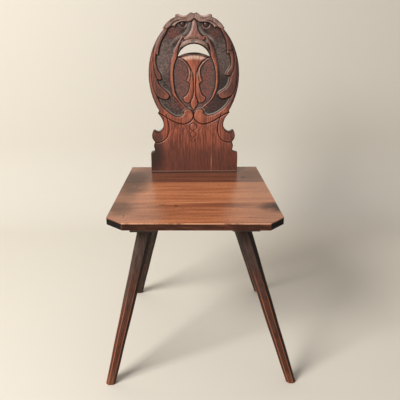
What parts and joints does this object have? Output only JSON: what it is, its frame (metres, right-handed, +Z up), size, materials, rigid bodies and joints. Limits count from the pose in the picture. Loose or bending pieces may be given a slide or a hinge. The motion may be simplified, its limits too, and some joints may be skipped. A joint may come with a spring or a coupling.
{
  "type": "plank chair",
  "caption": "Wooden plank chair: boarded seat on dovetailed battens, splayed faceted legs with wedged tenons, and a leaning carved back plank pierced by a hand hole.",
  "frame": {"origin": "on the floor, midway between the feet, under the middle of the bounding box", "axes": "+Z up, the chair faces -Y, and +X is to the right of someone who looks at its front"},
  "size_m": [0.494, 0.4596, 0.8865],
  "materials": {
    "seat_wood": "old polish, worn pale along the front edge",
    "batten_wood": "dark stain, dull",
    "leg_wood": "dark stain, worn on the edges toward the feet",
    "wedge_wood": "bare wood",
    "back_wood": "reddish brown polish, dark in the carved ground"
  },
  "bodies": {
    "root": {"seat_board_front": "seat_wood", "seat_board_middle": "seat_wood", "seat_board_rear": "seat_wood", "batten_left": "batten_wood", "batten_right": "batten_wood", "leg_front_left": "leg_wood", "leg_front_right": "leg_wood", "leg_rear_left": "leg_wood", "leg_rear_right": "leg_wood", "leg_wedge_front_left": "wedge_wood", "leg_wedge_front_right": "wedge_wood", "leg_wedge_rear_left": "wedge_wood", "leg_wedge_rear_right": "wedge_wood", "back_plank": "back_wood", "back_key_left": "wedge_wood", "back_key_right": "wedge_wood"}
  },
  "joints": []
}
